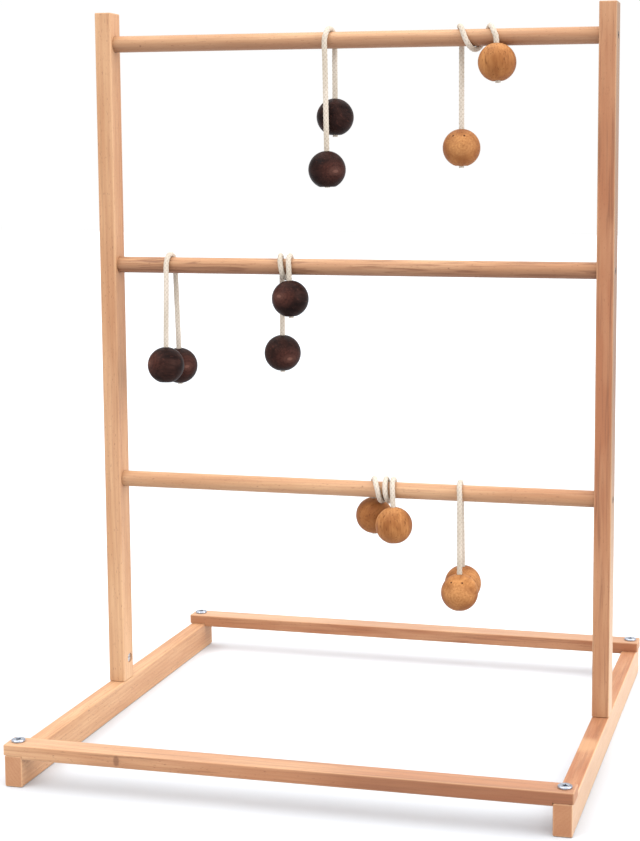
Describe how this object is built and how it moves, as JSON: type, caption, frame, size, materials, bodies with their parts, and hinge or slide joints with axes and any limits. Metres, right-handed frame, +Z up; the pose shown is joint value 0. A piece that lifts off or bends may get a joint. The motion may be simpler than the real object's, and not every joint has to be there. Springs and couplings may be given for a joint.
{
  "type": "ladder toss frame",
  "caption": "Beech ladder toss frame with round rungs on a bolted rectangular base, with ball-and-rope bolas hung on the rungs.",
  "frame": {"origin": "on the floor, in the middle of the base", "axes": "+X along the rungs to the right, +Y from the front of the base to its back, +Z up"},
  "size_m": [0.6164, 0.58, 0.84],
  "materials": {
    "beech": "oiled, satin",
    "light_ball": "oiled, satin",
    "dark_ball": "stained, satin",
    "rope": "braided cotton, matt",
    "zinc_steel": "bright zinc plate"
  },
  "bodies": {
    "frame": {"post_left": "beech", "side_rail_left": "beech", "post_right": "beech", "side_rail_right": "beech", "cross_bar_front": "beech", "cross_bar_rear": "beech", "rung_top": "beech", "rung_middle": "beech", "rung_low": "beech", "post_bolt_left": "zinc_steel", "barrel_nut_left": "zinc_steel", "locating_peg_left": "beech", "rung_screw_top_left": "zinc_steel", "rung_screw_middle_left": "zinc_steel", "rung_screw_low_left": "zinc_steel", "corner_bolt_front_left": "zinc_steel", "threaded_insert_front_left": "zinc_steel", "corner_bolt_rear_left": "zinc_steel", "threaded_insert_rear_left": "zinc_steel", "post_bolt_right": "zinc_steel", "barrel_nut_right": "zinc_steel", "locating_peg_right": "beech", "rung_screw_top_right": "zinc_steel", "rung_screw_middle_right": "zinc_steel", "rung_screw_low_right": "zinc_steel", "corner_bolt_front_right": "zinc_steel", "threaded_insert_front_right": "zinc_steel", "corner_bolt_rear_right": "zinc_steel", "threaded_insert_rear_right": "zinc_steel"},
    "bola_top_dark": {"bola_top_dark_rope": "rope", "bola_top_dark_ball_front": "dark_ball", "bola_top_dark_ball_back": "dark_ball", "bola_top_dark_knot_front": "rope", "bola_top_dark_knot_back": "rope"},
    "bola_top_light": {"bola_top_light_rope": "rope", "bola_top_light_ball_front": "light_ball", "bola_top_light_ball_back": "light_ball", "bola_top_light_knot_front": "rope", "bola_top_light_knot_back": "rope"},
    "bola_middle_left": {"bola_middle_left_rope": "rope", "bola_middle_left_ball_front": "dark_ball", "bola_middle_left_ball_back": "dark_ball", "bola_middle_left_knot_front": "rope", "bola_middle_left_knot_back": "rope"},
    "bola_middle_right": {"bola_middle_right_rope": "rope", "bola_middle_right_ball_front": "dark_ball", "bola_middle_right_ball_back": "dark_ball", "bola_middle_right_knot_front": "rope", "bola_middle_right_knot_back": "rope"},
    "bola_low_wound": {"bola_low_wound_rope": "rope", "bola_low_wound_ball_front": "light_ball", "bola_low_wound_ball_back": "light_ball", "bola_low_wound_knot_front": "rope", "bola_low_wound_knot_back": "rope"},
    "bola_low_hung": {"bola_low_hung_rope": "rope", "bola_low_hung_ball_front": "light_ball", "bola_low_hung_ball_back": "light_ball", "bola_low_hung_knot_front": "rope", "bola_low_hung_knot_back": "rope"}
  },
  "joints": [
    {"name": "bola_top_dark_swing", "type": "hinge", "parent": "frame", "child": "bola_top_dark", "pos_m": [-0.0235, 0, 0.804], "axis": [1, 0, 0], "range_deg": [-45, 45]},
    {"name": "bola_top_light_swing", "type": "hinge", "parent": "frame", "child": "bola_top_light", "pos_m": [0.151, 0, 0.804], "axis": [1, 0, 0], "range_deg": [-45, 45]},
    {"name": "bola_middle_left_swing", "type": "hinge", "parent": "frame", "child": "bola_middle_left", "pos_m": [-0.222, 0, 0.5445], "axis": [1, 0, 0], "range_deg": [-45, 45]},
    {"name": "bola_middle_right_swing", "type": "hinge", "parent": "frame", "child": "bola_middle_right", "pos_m": [-0.079, 0, 0.5445], "axis": [1, 0, 0], "range_deg": [-45, 45]},
    {"name": "bola_low_wound_swing", "type": "hinge", "parent": "frame", "child": "bola_low_wound", "pos_m": [0.0385, 0, 0.285], "axis": [1, 0, 0], "range_deg": [-45, 45]},
    {"name": "bola_low_hung_swing", "type": "hinge", "parent": "frame", "child": "bola_low_hung", "pos_m": [0.1315, 0, 0.285], "axis": [1, 0, 0], "range_deg": [-45, 45]}
  ]
}
